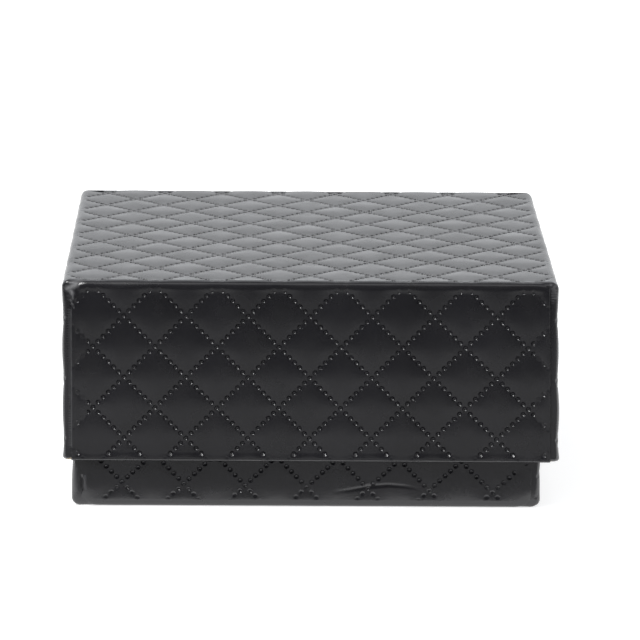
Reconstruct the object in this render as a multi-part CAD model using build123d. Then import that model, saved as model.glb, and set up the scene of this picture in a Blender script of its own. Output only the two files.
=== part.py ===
from build123d import *
from math import hypot
import os

# A rigid pocket watch box: a lift-off lid over a base, both greyboard trays covered in quilted
# leatherette, with a die-cut foam insert. Millimetres, +Z up, front towards -Y. The origin is the
# centre of the lid's outline, on the table.

# Overall sizes
LID_WIDTH = 90.0
LID_DEPTH = 83.5
LID_HEIGHT = 33.7
BOX_HEIGHT = 43.0
BASE_WIDTH = 85.0
BASE_DEPTH = 78.5
# The lid is a loose fit and stands a little to the right of the base
BASE_SHIFT_X = -0.7

# Materials' thicknesses
BOARD = 0.8
WRAP = 0.6
PUFF = 0.3
HEM = 0.2
STAY = 0.1
LINING = 0.15
STRIP_STEP = 0.15
# The board is bevelled a little along the folds between its panel and its walls
FOLD_BEVEL = 0.35

# Corners and edges
CORNER_RADIUS = 1.8
TOP_EDGE_RADIUS = 1.4
BASE_EDGE_RADIUS = 1.6
MITRE_SLIT = 0.12
STRIP_WIDTH = 1.65
LID_HEM_HEIGHT = 12.0
BASE_HEM_HEIGHT = 10.0
STAY_REACH = 14.0

# Quilting: diamonds with a node on the centre line of each face
DIAMOND_WIDTH = 11.25
DIAMOND_HEIGHT = 11.4
LINE_SPACING = DIAMOND_WIDTH * DIAMOND_HEIGHT / hypot(DIAMOND_WIDTH, DIAMOND_HEIGHT)
# The section across one seam, from the crest before it: how far from the seam, as a share of half
# the line spacing, and how high, as a share of the puff
PILLOW = ((-1.0, 1.0), (-0.35, 0.75), (0.0, 0.0), (0.35, 0.75))
# The base's puffs are pressed flat, its walls' by the lid and the underside's by the box's weight
PRESSED = ((-0.35, 1.0), (0.0, 0.0), (0.35, 1.0))
# Where the sheet's seams cross, measured from the lid's top edges and the base's bottom edges
LID_TOP_INSET = 6.3
LID_FRONT_DROP = 6.3
LID_BACK_DROP = 3.2
LID_SIDE_DROP = 0.3
BASE_FRONT_RISE = 3.15
BASE_SIDE_RISE = 3.2
BASE_BACK_RISE = 6.4
BASE_UNDER_INSET = 8.9
# The base's sheet was laid slightly askew
BASE_TILT = -1.4
# Pulled tight round the base's bottom edges, the sheet loses its quilting there
BASE_PLAIN_EDGE = 2.0

# Insert
INSERT_CLEARANCE = 0.4
INSERT_TOP = 33.0
VELVET = 0.6
UPPER_FOAM = 15.4
RECESS_RADIUS = 25.5
RECESS_CENTRE_Y = -8.5
NOTCH_WIDTH = 22.0
TROUGH_WIDTH = 62.0
TROUGH_DEPTH = 10.0
TROUGH_CENTRE_Y = 27.5
TROUGH_CORNER = 4.0

# Lid pad
PAD_WIDTH = 74.0
PAD_DEPTH = 68.0
PAD_CORNER = 4.0
PAD_CARD = 0.8
PAD_EDGE = 1.6
PAD_CROWN = 1.3
SATIN = 0.25


def block(width, depth, low, high, radius=0.0, shift=0.0):
    """An upright block between two heights, centred on the box, with rounded upright edges."""
    body = Box(width, depth, high - low, align=(Align.CENTER, Align.CENTER, Align.MIN))
    if radius > 0:
        body = fillet(body.edges().filter_by(Axis.Z), radius)
    return body.moved(Location((shift, 0, low)))


def seam_cutter(pitch_u, pitch_v, node, lean, reach, swelling):
    """Everything above one family of parallel quilted waves, over a face in the XY plane.

    The face's crests lie at height 0. The seams pass through the given node and lean one way or
    the other; between two seams the surface swells like a pillow.
    """
    along = Vector(pitch_u, lean * pitch_v, 0).normalized()
    across = Vector(0, 0, 1).cross(along)
    start = Vector(*node, 0).dot(across)
    half = LINE_SPACING / 2
    count = int(reach / LINE_SPACING) + 2
    section = []
    for k in range(-count, count + 1):
        seam = start + k * LINE_SPACING
        section += [(seam + half * share, PUFF * (rise - 1)) for share, rise in swelling]
    section = [(section[0][0], 1.0)] + section + [(section[-1][0], 1.0)]
    outline = [across * s + Vector(0, 0, 1) * h for s, h in section]
    profile = Face(Wire.make_polygon(outline, close=True))
    return extrude(profile, amount=reach * 1.4, dir=along, both=True)


def quilt(body, plane, node, half_u, low_v, high_v, across_side=False, tilt=0.0, swelling=PILLOW):
    """Cut both families of waves into one face, inside the given window of that face.

    The plane's z points out of the box at crest height. On the box's left and right sides the
    sheet's diamonds lie across.
    """
    pitch_u, pitch_v = DIAMOND_WIDTH, DIAMOND_HEIGHT
    if across_side:
        pitch_u, pitch_v = pitch_v, pitch_u
    reach = hypot(half_u, max(abs(low_v), abs(high_v))) + LINE_SPACING
    window = Box(2 * half_u, high_v - low_v, 4, align=(Align.CENTER, Align.MIN, Align.CENTER))
    window = window.moved(Location((0, low_v, 0)))
    for lean in (1, -1):
        waves = seam_cutter(pitch_u, pitch_v, node, lean, reach, swelling)
        waves = waves.moved(Location((0, 0, 0), (0, 0, tilt)))
        body = body - (waves & window).moved(plane.location)
    return body


def upright_faces(width, depth, height, shift=0.0):
    """The four walls' planes at the given height: origin on the wall, z outwards, y up."""
    front = Plane(origin=(shift, -depth / 2, height), x_dir=(1, 0, 0), z_dir=(0, -1, 0))
    back = Plane(origin=(shift, depth / 2, height), x_dir=(-1, 0, 0), z_dir=(0, 1, 0))
    right = Plane(origin=(shift + width / 2, 0, height), x_dir=(0, 1, 0), z_dir=(1, 0, 0))
    left = Plane(origin=(shift - width / 2, 0, height), x_dir=(0, -1, 0), z_dir=(-1, 0, 0))
    return {"front": front, "back": back, "right": right, "left": left}


def corner_signs():
    """The four corners' names with their signs in X and Y."""
    for end, sign_y in (("front", -1), ("back", 1)):
        for side, sign_x in (("left", -1), ("right", 1)):
            yield f"{end}_{side}", sign_x, sign_y


def board_block(width, depth, low, high, floor_up, shift=0.0):
    """A greyboard tray's outside, bevelled along the folds round its panel."""
    body = block(width, depth, low, high, BOARD, shift)
    folds = body.edges().group_by(Axis.Z)[0 if floor_up else -1]
    return chamfer(folds, FOLD_BEVEL)


def board_tray(width, depth, low, high, floor_up, shift=0.0):
    """A greyboard tray with its panel at the bottom or the top and mitred corners."""
    outer = board_block(width, depth, low, high, floor_up, shift)
    inner_low = low + BOARD if floor_up else low - 1
    inner_high = high + 1 if floor_up else high - BOARD
    inner = block(width - 2 * BOARD, depth - 2 * BOARD, inner_low, inner_high, 0.0, shift)
    tray = outer - inner
    slit_low = low + BOARD if floor_up else low - 1
    slit_high = high + 1 if floor_up else high - BOARD
    for _, sign_x, sign_y in corner_signs():
        slit = Box(4 * BOARD, MITRE_SLIT, slit_high - slit_low, align=(Align.CENTER, Align.CENTER, Align.MIN))
        turn = 45 if sign_x * sign_y > 0 else -45
        corner = (shift + sign_x * (width / 2 - BOARD), sign_y * (depth / 2 - BOARD), slit_low)
        tray = tray - slit.moved(Location(corner, (0, 0, turn)))
    return tray


def stays(width, depth, low, high, shift=0.0):
    """Four paper stays, each folded round one outside corner of the board."""
    ring = block(width + 2 * STAY, depth + 2 * STAY, low, high, BOARD + STAY, shift)
    ring = ring - block(width, depth, low - 1, high + 1, BOARD, shift)
    pieces = {}
    for name, sign_x, sign_y in corner_signs():
        patch = Box(2 * STAY_REACH, 2 * STAY_REACH, 4 * high)
        pieces[name] = ring & patch.moved(Location((shift + sign_x * width / 2, sign_y * depth / 2, low)))
    return pieces


def wall_lining(width, depth, low, high, shift=0.0):
    """A strip of lining paper round the inside of the walls, its two ends meeting at the back."""
    strip = block(width, depth, low, high, 0.0, shift)
    strip = strip - block(width - 2 * LINING, depth - 2 * LINING, low - 1, high + 1, 0.0, shift)
    joint = Box(MITRE_SLIT, 4 * LINING, 4 * high)
    return strip - joint.moved(Location((shift + width / 3, depth / 2, low)))


def corner_strips(body, width, depth, low, high, shift=0.0):
    """The front and back panels' cut edges stop short of the corners, so a lower strip shows."""
    for _, sign_x, sign_y in corner_signs():
        strip = Box(2 * STRIP_WIDTH, 2 * STRIP_STEP, high - low, align=(Align.CENTER, Align.CENTER, Align.MIN))
        body = body - strip.moved(Location((shift + sign_x * width / 2, sign_y * depth / 2, low)))
    return body


def make_lid():
    """The lid's board, stays, wrap, linings and pad."""
    rim = BOX_HEIGHT - LID_HEIGHT
    board_width = LID_WIDTH - 2 * WRAP
    board_depth = LID_DEPTH - 2 * WRAP
    board_low = rim + HEM
    board_high = BOX_HEIGHT - WRAP
    inside_top = board_high - BOARD
    inner_width = board_width - 2 * BOARD
    inner_depth = board_depth - 2 * BOARD
    hem_top = board_low + LID_HEM_HEIGHT

    board = board_tray(board_width, board_depth, board_low, board_high, floor_up=False)
    corner_stays = stays(board_width, board_depth, board_low, board_high - 2 * BOARD)

    wrap = block(LID_WIDTH, LID_DEPTH, rim, BOX_HEIGHT, CORNER_RADIUS)
    wrap = fillet(wrap.edges().group_by(Axis.Z)[-1], TOP_EDGE_RADIUS)
    first_row = LID_TOP_INSET - LID_DEPTH / 2
    wrap = quilt(wrap, Plane(origin=(0, 0, BOX_HEIGHT)), (0, first_row),
                 LID_WIDTH / 2, -LID_DEPTH / 2, LID_DEPTH / 2)
    nodes = {"front": (0, -LID_FRONT_DROP), "back": (0, -LID_BACK_DROP),
             "right": (first_row, -LID_SIDE_DROP), "left": (-first_row, -LID_SIDE_DROP)}
    for name, plane in upright_faces(LID_WIDTH, LID_DEPTH, BOX_HEIGHT).items():
        across_side = name in ("left", "right")
        half = (LID_DEPTH if across_side else LID_WIDTH) / 2 - STRIP_WIDTH
        wrap = quilt(wrap, plane, nodes[name], half, -LID_HEIGHT, -TOP_EDGE_RADIUS / 2, across_side)
    wrap = corner_strips(wrap, LID_WIDTH, LID_DEPTH, rim - 1, BOX_HEIGHT - TOP_EDGE_RADIUS)
    wrap = wrap - board_block(board_width, board_depth, board_low, board_high, floor_up=False)
    wrap = wrap - block(inner_width - 2 * HEM, inner_depth - 2 * HEM, rim - 1, board_low + 1)
    hem = block(inner_width, inner_depth, board_low, hem_top)
    hem = hem - block(inner_width - 2 * HEM, inner_depth - 2 * HEM, board_low - 1, hem_top + 1)
    wrap = wrap + hem
    for stay in corner_stays.values():
        wrap = wrap - stay

    lining = wall_lining(inner_width, inner_depth, hem_top, inside_top)
    top_lining = block(inner_width - 2 * LINING, inner_depth - 2 * LINING, inside_top - LINING, inside_top)

    pieces = {"lid_board": board, "lid_wrap": wrap, "lid_wall_lining": lining, "lid_top_lining": top_lining}
    pieces.update({f"lid_stay_{name}": stay for name, stay in corner_stays.items()})
    pieces.update(make_pad(inside_top - LINING))
    return pieces


def pillow_slab(width, depth, top, edge, crown, radius):
    """A slab that hangs from a height, its edge of even thickness and its face crowned."""
    slab = block(width, depth, top - edge - crown, top, radius)
    sag_x = (width / 2) ** 2 / (2 * crown) + crown / 2
    sag_y = (depth / 2) ** 2 / (2 * crown) + crown / 2
    low = top - edge - crown
    barrel_x = Cylinder(sag_x, 2 * width, rotation=(90, 0, 0)).moved(Location((0, 0, low + sag_x)))
    barrel_y = Cylinder(sag_y, 2 * width, rotation=(0, 90, 0)).moved(Location((0, 0, low + sag_y)))
    return slab & barrel_x & barrel_y


def make_pad(ceiling):
    """The pad over the watch: card against the lid, foam on it and a satin cover turned behind."""
    card_low = ceiling - PAD_CARD
    card = block(PAD_WIDTH - 2 * SATIN, PAD_DEPTH - 2 * SATIN, card_low, ceiling, PAD_CORNER - SATIN)
    foam = pillow_slab(PAD_WIDTH - 2 * SATIN, PAD_DEPTH - 2 * SATIN, card_low, PAD_EDGE, PAD_CROWN,
                       PAD_CORNER - SATIN)
    satin = pillow_slab(PAD_WIDTH, PAD_DEPTH, ceiling, PAD_CARD + PAD_EDGE + SATIN, PAD_CROWN, PAD_CORNER)
    satin = satin - card - foam
    return {"lid_pad_card": card, "lid_pad_foam": foam, "lid_pad_satin": satin}


def make_base():
    """The base's board, stays, wrap and linings."""
    board_width = BASE_WIDTH - 2 * WRAP
    board_depth = BASE_DEPTH - 2 * WRAP
    rim = BOX_HEIGHT - WRAP - BOARD - LINING
    board_low = WRAP
    board_high = rim - HEM
    inner_width = board_width - 2 * BOARD
    inner_depth = board_depth - 2 * BOARD
    hem_low = board_high - BASE_HEM_HEIGHT
    floor = board_low + BOARD

    board = board_tray(board_width, board_depth, board_low, board_high, True, BASE_SHIFT_X)
    corner_stays = stays(board_width, board_depth, board_low + 2 * BOARD, board_high, BASE_SHIFT_X)

    wrap = block(BASE_WIDTH, BASE_DEPTH, 0, rim, CORNER_RADIUS, BASE_SHIFT_X)
    wrap = fillet(wrap.edges().group_by(Axis.Z)[0], BASE_EDGE_RADIUS)
    first_row = BASE_UNDER_INSET - BASE_DEPTH / 2
    under = Plane(origin=(BASE_SHIFT_X, 0, 0), x_dir=(-1, 0, 0), z_dir=(0, 0, -1))
    flat_depth = BASE_DEPTH / 2 - BASE_PLAIN_EDGE
    wrap = quilt(wrap, under, (0, first_row), BASE_WIDTH / 2 - BASE_PLAIN_EDGE, -flat_depth, flat_depth,
                 tilt=BASE_TILT, swelling=PRESSED)
    nodes = {"front": (0, BASE_FRONT_RISE), "back": (0, BASE_BACK_RISE),
             "right": (first_row, BASE_SIDE_RISE), "left": (-first_row, BASE_SIDE_RISE)}
    for name, plane in upright_faces(BASE_WIDTH, BASE_DEPTH, 0, BASE_SHIFT_X).items():
        across_side = name in ("left", "right")
        half = (BASE_DEPTH if across_side else BASE_WIDTH) / 2 - STRIP_WIDTH
        wrap = quilt(wrap, plane, nodes[name], half, BASE_PLAIN_EDGE, rim, across_side, BASE_TILT, PRESSED)
    wrap = corner_strips(wrap, BASE_WIDTH, BASE_DEPTH, BASE_EDGE_RADIUS, rim + 1, BASE_SHIFT_X)
    wrap = wrap - board_block(board_width, board_depth, board_low, board_high, True, BASE_SHIFT_X)
    mouth_width = inner_width - 2 * HEM
    mouth_depth = inner_depth - 2 * HEM
    wrap = wrap - block(mouth_width, mouth_depth, board_high - 1, rim + 1, 0.0, BASE_SHIFT_X)
    hem = block(inner_width, inner_depth, hem_low, board_high, 0.0, BASE_SHIFT_X)
    hem = hem - block(mouth_width, mouth_depth, hem_low - 1, rim + 1, 0.0, BASE_SHIFT_X)
    wrap = wrap + hem
    for stay in corner_stays.values():
        wrap = wrap - stay

    lining = wall_lining(inner_width, inner_depth, floor, hem_low, BASE_SHIFT_X)
    floor_lining = block(inner_width - 2 * LINING, inner_depth - 2 * LINING, floor, floor + LINING, 0.0,
                         BASE_SHIFT_X)
    pieces = {"base_board": board, "base_wrap": wrap, "base_wall_lining": lining,
              "base_floor_lining": floor_lining}
    pieces.update({f"base_stay_{name}": stay for name, stay in corner_stays.items()})
    pieces.update(make_insert(mouth_width, mouth_depth, floor + LINING))
    return pieces


def recess_outline(low, high, clearance=0.0):
    """The die-cut opening: a round seat for the watch, a notch for its bow and a chain trough."""
    radius = RECESS_RADIUS - clearance
    height = high - low
    seat = Cylinder(radius, height, align=(Align.CENTER, Align.CENTER, Align.MIN))
    seat = seat.moved(Location((BASE_SHIFT_X, RECESS_CENTRE_Y, low)))
    trough_front = TROUGH_CENTRE_Y - TROUGH_DEPTH / 2
    notch = Box(NOTCH_WIDTH - 2 * clearance, trough_front - RECESS_CENTRE_Y + 1, height,
                align=(Align.CENTER, Align.MIN, Align.MIN))
    notch = notch.moved(Location((BASE_SHIFT_X, RECESS_CENTRE_Y, low)))
    trough = block(TROUGH_WIDTH - 2 * clearance, TROUGH_DEPTH - 2 * clearance, low, high, TROUGH_CORNER - clearance)
    trough = trough.moved(Location((BASE_SHIFT_X, TROUGH_CENTRE_Y, 0)))
    return seat + notch + trough


def make_insert(mouth_width, mouth_depth, floor):
    """The foam insert: a plain layer, a die-cut layer, a velvet top sheet and the recess's floor."""
    width = mouth_width - 2 * INSERT_CLEARANCE
    depth = mouth_depth - 2 * INSERT_CLEARANCE
    foam_top = INSERT_TOP - VELVET
    foam_middle = foam_top - UPPER_FOAM
    lower = block(width, depth, floor, foam_middle, 0.0, BASE_SHIFT_X)
    upper = block(width, depth, foam_middle, foam_top, 0.0, BASE_SHIFT_X)
    upper = upper - recess_outline(foam_middle - 1, foam_top + 1)
    sheet = block(width, depth, foam_top, INSERT_TOP, 0.0, BASE_SHIFT_X)
    sheet = sheet - recess_outline(foam_top - 1, INSERT_TOP + 1)
    recess_floor = recess_outline(foam_middle, foam_middle + VELVET, clearance=0.3)
    return {"insert_lower_foam": lower, "insert_upper_foam": upper, "insert_velvet": sheet,
            "recess_velvet": recess_floor}


def main():
    os.makedirs("parts", exist_ok=True)
    pieces = make_lid() | make_base()
    for name, piece in pieces.items():
        piece.label = name
        export_step(piece, f"parts/{name}.step")
        print(name, len(piece.solids()), "solid", round(piece.volume, 1), "mm3")


main()
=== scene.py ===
# %% [markdown]
# # A quilted pocket watch box
# The box is a rigid greyboard lid over a greyboard base, both covered in black quilted leatherette.
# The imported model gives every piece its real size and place. This lesson gives the pieces their
# looks: the quilted sheets with their needle pits, the foam, velvet and satin inside, and the light.

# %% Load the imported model
import math

import bpy
import numpy as np
from mathutils import Matrix, Vector
from mathutils.geometry import delaunay_2d_cdt


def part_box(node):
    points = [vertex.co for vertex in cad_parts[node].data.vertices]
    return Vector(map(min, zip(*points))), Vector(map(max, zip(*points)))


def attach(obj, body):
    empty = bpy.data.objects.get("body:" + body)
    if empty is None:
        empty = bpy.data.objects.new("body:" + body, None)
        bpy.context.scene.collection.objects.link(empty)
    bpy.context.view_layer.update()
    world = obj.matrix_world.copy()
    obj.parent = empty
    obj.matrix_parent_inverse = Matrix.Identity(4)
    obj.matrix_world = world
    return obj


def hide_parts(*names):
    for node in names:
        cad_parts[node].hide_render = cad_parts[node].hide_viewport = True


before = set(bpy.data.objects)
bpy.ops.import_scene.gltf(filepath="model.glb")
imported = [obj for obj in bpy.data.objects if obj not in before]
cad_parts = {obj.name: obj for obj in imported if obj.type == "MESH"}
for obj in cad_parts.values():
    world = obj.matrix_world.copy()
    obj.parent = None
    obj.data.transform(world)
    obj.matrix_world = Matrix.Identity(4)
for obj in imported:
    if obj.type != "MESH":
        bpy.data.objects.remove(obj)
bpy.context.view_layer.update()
MM = 0.001

# %% [markdown]
# ## Driving sizes
# Everything below is in millimetres until a mesh is made. The outlines come from the packed
# nodes, so the looks can't drift from the construction. Only the sheet's own facts are written
# here: how far a puff stands up, where the seams cross, how long a stitch is.

# %% Sizes of the two covered trays
def node_box(name):
    """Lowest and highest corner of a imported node, in millimetres."""
    low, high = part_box(name)
    return np.array(low) / MM, np.array(high) / MM


lid_low, lid_high = node_box("lid_wrap")
base_low, base_high = node_box("base_wrap")
insert_low, insert_high = node_box("insert_upper_foam")

DIAMOND_WIDTH = 11.25
DIAMOND_HEIGHT = 11.4
STITCHES_PER_SIDE = 6
PUFF = 0.27
PUFF_STEEPNESS = 2.3
# The least full puff, as a share of the fullest
LEAST_PUFF = 0.80
PIT_DEPTH = 0.24
PIT_RADIUS = 0.47
# The pits' shading is a little deeper than their mesh, whose steps are coarse for them
PIT_BUMP = 0.36
EDGE_RADIUS = 1.5
# The sheet is pulled tight over an edge, so the arc takes less of it than its own length
ARC_OF_SHEET = 1.6
CUT_EDGE_INSET = 1.65
# The cover turns over each rim in a half circle and is glued down inside as a hem
RIM_RADIUS = 0.78
LID_HEM = 12.0
BASE_HEM = 10.0
# How far the quilting is flattened round a rim, under glue and round a corner, from 0 to 1
RIM_PULL = 0.92
GLUE_PULL = 0.85
CORNER_PULL = 0.93
# Where that starts before a rim, and over what length it grows
RIM_PULL_START = 0.8
RIM_PULL_LENGTH = 1.2
print("lid", lid_high - lid_low, "base", base_high - base_low)

# %% [markdown]
# ## The camera
# The photograph was taken from a little above with a long lens. Its focal length, tilt and place
# were worked out from the quilting's nodes on the top and the front, and are written here as a
# real camera on a tripod: a 36 mm wide sensor, 238 mm of lens and 0.76 m away.

# %% Camera
SENSOR = 36.0
FOCAL_LENGTH = 238.2
CAMERA_TILT = 13.24
CAMERA_ROLL = 0.50
CAMERA_TURN = 0.79
# The lid's front top edge at its third seam crossing, seen from the camera: right, down, away
AIM_POINT = np.array([-33.72, lid_low[1], lid_high[2]])
AIM_SEEN = np.array([-35.40, -7.02, 764.1])


def turn_matrix(axis, degrees):
    return Matrix.Rotation(math.radians(degrees), 3, axis)


def make_camera():
    """Place the camera so that the aim point is seen where the photograph has it."""
    level = Matrix(((1, 0, 0), (0, 0, -1), (0, 1, 0)))
    tipped = turn_matrix("Z", CAMERA_ROLL) @ turn_matrix("X", CAMERA_TILT)
    seen = tipped @ level @ turn_matrix("Z", CAMERA_TURN)
    place = Vector(AIM_POINT) - seen.transposed() @ Vector(AIM_SEEN)
    data = bpy.data.cameras.new("camera")
    data.sensor_width = SENSOR
    data.lens = FOCAL_LENGTH
    data.clip_start = 0.05
    data.clip_end = 20
    camera = bpy.data.objects.new("camera", data)
    bpy.context.scene.collection.objects.link(camera)
    # A camera looks along its own -Z with +Y up
    look = seen.transposed() @ Matrix(((1, 0, 0), (0, -1, 0), (0, 0, -1)))
    camera.matrix_world = Matrix.Translation(place * MM) @ look.to_4x4()
    bpy.context.scene.camera = camera
    print("camera at mm", [round(x, 1) for x in place])


make_camera()

# %% [markdown]
# ## Shader maths in Python
# A procedural material is a sum: some grain, some wear, some colour. Written as linked nodes it
# is hard to read, so one small class wraps a socket and lets Python's own signs add Math nodes.
# A second one makes the other nodes, and a finish is a material with such nodes.

# %% The socket wrapper
class Value:
    """A node socket that can be added, multiplied and compared like a number."""

    def __init__(self, tree, socket):
        self.tree = tree
        self.socket = socket

    def math(self, operation, *others, swap=False):
        node = self.tree.nodes.new("ShaderNodeMath")
        node.operation = operation
        inputs = [self, *others]
        if swap:
            inputs.reverse()
        for slot, item in zip(node.inputs, inputs):
            connect(self.tree, slot, item)
        return Value(self.tree, node.outputs[0])

    def __add__(self, other):
        return self.math("ADD", other)

    __radd__ = __add__

    def __mul__(self, other):
        return self.math("MULTIPLY", other)

    __rmul__ = __mul__

    def __sub__(self, other):
        return self.math("SUBTRACT", other)

    def __rsub__(self, other):
        return self.math("SUBTRACT", other, swap=True)


def connect(tree, slot, item):
    """Give an input socket a link or a plain value."""
    if isinstance(item, Value):
        tree.links.new(item.socket, slot)
    else:
        slot.default_value = item


class Shader:
    """The nodes of one material or world, with one method that makes any of them."""

    def __init__(self, tree):
        self.tree = tree

    def node(self, kind, output=0, settings=None, **inputs):
        """Make a node: its settings first, then a value or a link for each named socket."""
        made = self.tree.nodes.new(kind)
        for key, value in (settings or {}).items():
            if key == "stops":
                self.set_stops(made.color_ramp, value)
            else:
                setattr(made, key, value)
        for key, value in inputs.items():
            connect(self.tree, made.inputs[key.replace("_", " ")], value)
        return Value(self.tree, made.outputs[output])

    @staticmethod
    def set_stops(ramp, stops):
        while len(ramp.elements) < len(stops):
            ramp.elements.new(0.5)
        for element, (place, grey) in zip(ramp.elements, stops):
            element.position = place
            element.color = (grey, grey, grey, 1)

    def place(self):
        """The point on the object, in metres."""
        return self.node("ShaderNodeTexCoord", output=3)

    def noise(self, size_mm, detail=2.0, roughness=0.5):
        """Soft noise whose lumps are about this many millimetres across."""
        return self.node("ShaderNodeTexNoise", Vector=self.place(), Scale=1 / (size_mm * MM),
                         Detail=detail, Roughness=roughness)

    def ramp(self, value, *stops):
        return self.node("ShaderNodeValToRGB", settings={"stops": stops}, Fac=value)

    def colour(self, mix, dark, light):
        """A colour between two, by a value from 0 to 1."""
        made = self.tree.nodes.new("ShaderNodeMix")
        made.data_type = "RGBA"
        factor, first, second = (made.inputs[k] for k in (0, 6, 7))
        connect(self.tree, factor, mix)
        for slot, item in ((first, dark), (second, light)):
            connect(self.tree, slot, item if isinstance(item, Value) else (*item, 1))
        return Value(self.tree, made.outputs[2])

    def bump(self, height, strength, depth_mm, **inputs):
        return self.node("ShaderNodeBump", Height=height, Strength=strength, Distance=depth_mm * MM,
                         **inputs)


class Finish(Shader):
    """One material and its shader."""

    def __init__(self, name):
        self.material = bpy.data.materials.new(name)
        self.material.use_nodes = True
        super().__init__(self.material.node_tree)
        self.shader = self.tree.nodes["Principled BSDF"]

    def surface(self, **inputs):
        """Set the shader's own sockets."""
        for key, value in inputs.items():
            connect(self.tree, self.shader.inputs[key.replace("_", " ")], value)
        return self.material


print("shader helpers ready")

# %% [markdown]
# ## The leatherette
# The cover is embossed plastic leather: nearly black, with a soft shine that turns bright at a low
# angle. A fine grain breaks the shine, and uneven patches vary it a little, as handling does. Where
# a corner is rubbed, the black is worn to a matt grey. At the lid's upper front corners and along its
# left cut edge that light grey is painted highlight as well, standing in for light on those edges.

# %% Leatherette finish
DIAMOND_SIDE = math.hypot(DIAMOND_WIDTH, DIAMOND_HEIGHT) / 2
# A light matt grey for rubbed places: partly wear, and at the lid's upper corners painted highlight
RUBBED_AND_HIGHLIGHT_GREY = (0.20, 0.20, 0.205)


def from_nearest(value):
    """How far a value lies from the nearest whole number."""
    return (value - value.math("ROUND")).math("ABSOLUTE")


def pit_height(finish):
    """The needle pits along both families of seams, from 0 on the sheet to -1 in a pit.

    Each vertex carries its seam coordinates and, as the third one, how much of the pits is kept.
    """
    seams = finish.node("ShaderNodeAttribute", output="Vector", settings={"attribute_name": "seams"})
    a, b, keep = [finish.node("ShaderNodeSeparateXYZ", output=k, Vector=seams) for k in range(3)]
    reaches = []
    for across, along in ((a, b), (b, a)):
        beside = from_nearest(across)
        ahead = from_nearest(along * STITCHES_PER_SIDE) * (1 / STITCHES_PER_SIDE)
        reaches.append((beside * beside + ahead * ahead).math("SQRT"))
    reach = reaches[0].math("MINIMUM", reaches[1]) * (DIAMOND_SIDE / PIT_RADIUS)
    return (1 - reach * reach).math("MAXIMUM", 0.0) * keep * -1.0


def leatherette(name, dark, light, low_shine, high_shine):
    """Embossed plastic leather, with its pits and its rubbed places from the mesh's attributes; the rubbed
    grey is partly wear and partly painted highlight.
    """
    finish = Finish(name)
    grain = finish.noise(0.30, detail=3.0, roughness=0.6)
    creases = finish.noise(1.1, detail=2.0)
    patches = finish.noise(14.0, detail=3.0)
    tone = finish.ramp(patches, (0.30, 0.0), (0.72, 1.0))
    wear = finish.node("ShaderNodeAttribute", output="Fac", settings={"attribute_name": "wear"})
    # Rubbed places are painted light grey and matt: partly wear, partly painted highlight on the lid's
    # corner facets and cut edge
    rubbed_and_highlight = (wear * (creases * 0.9 + 0.55)).math("MINIMUM", 1.0)
    shine = finish.ramp(finish.noise(5.0, detail=4.0), (0.30, low_shine), (0.70, high_shine))
    pits = finish.bump(pit_height(finish), 1.0, PIT_BUMP)
    return finish.surface(
        Base_Color=finish.colour(rubbed_and_highlight, finish.colour(tone, dark, light), RUBBED_AND_HIGHLIGHT_GREY),
        Roughness=shine + rubbed_and_highlight * 0.3,
        Normal=finish.bump(grain * 0.55 + creases * 0.45, 0.4, 0.05, Normal=pits),
        IOR=1.60,
    )


cover = leatherette("quilted_leatherette", dark=(0.0105, 0.0102, 0.0122),
                    light=(0.0145, 0.0141, 0.0168), low_shine=0.19, high_shine=0.30)
print(cover.name)

# %% [markdown]
# ## The quilted sheet
# A real cover is one flat sheet, embossed before it is folded round the board. So the model is
# made the same way: a pattern on a flat sheet, and a fold that carries every point of the sheet to
# its place on the box. The seams stay unbroken over the edges, as in the photograph.
#
# The mesh follows the seams. Its rows run along both families of seams, with three to five steps
# for each stitch, so every needle pit has its own vertex at its centre.

# %% Pattern of the sheet
def seam_coordinates(u, v, node, tilt):
    """How many diamonds a point lies from the first seam of each family."""
    turn = math.radians(tilt)
    du = u - node[0]
    dv = v - node[1]
    along = math.cos(turn) * du + math.sin(turn) * dv
    across = math.cos(turn) * dv - math.sin(turn) * du
    along, across = along / DIAMOND_WIDTH, across / DIAMOND_HEIGHT
    return along + across, along - across


def sheet_point(a, b, node, tilt):
    """The point of the sheet at these seam coordinates."""
    turn = math.radians(tilt)
    along = (a + b) / 2 * DIAMOND_WIDTH
    across = (a - b) / 2 * DIAMOND_HEIGHT
    u = node[0] + math.cos(turn) * along - math.sin(turn) * across
    v = node[1] + math.sin(turn) * along + math.cos(turn) * across
    return u, v


def swell(distance):
    """From 0 at a seam to 1 half a diamond away, steep at first."""
    return 1 - (1 - np.clip(2 * distance, 0, 1)) ** PUFF_STEEPNESS


def off_stitch(distance):
    """How far the nearest stitch of a seam lies, along the seam, in diamonds."""
    return np.abs(distance * STITCHES_PER_SIDE - np.round(distance * STITCHES_PER_SIDE)) / STITCHES_PER_SIDE


def scatter(i, j):
    """A number from 0 to 1 that looks random and is always the same for one diamond."""
    mixed = np.sin(i * 127.1 + j * 311.7) * 43758.5453
    return mixed - np.floor(mixed)


def emboss(u, v, node, tilt):
    """How far the sheet lies under its puffs' crests, and how deep its needle pits are."""
    a, b = seam_coordinates(u, v, node, tilt)
    to_a = np.abs(a - np.round(a))
    to_b = np.abs(b - np.round(b))
    fullness = LEAST_PUFF + (1 - LEAST_PUFF) * scatter(np.floor(a), np.floor(b))
    sunk = PUFF * (1 - fullness * swell(to_a) * swell(to_b))
    reach = np.minimum(np.hypot(to_a, off_stitch(b)), np.hypot(to_b, off_stitch(a))) * DIAMOND_SIDE
    cup = np.clip(1 - (reach / PIT_RADIUS) ** 2, 0, 1)
    return sunk, PIT_DEPTH * cup ** 1.2


# %% [markdown]
# ## Folding the sheet round a tray
# Each tray is a panel and four walls. The two side walls' sheet turns round the upright corners
# and ends under the front and back walls' sheet, whose cut edges stop short of the corner.
# The fold is one function: it takes sheet coordinates and gives a point in space and how far the
# quilting still stands up there. A wall's position is measured along the sheet from the panel.

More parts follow.
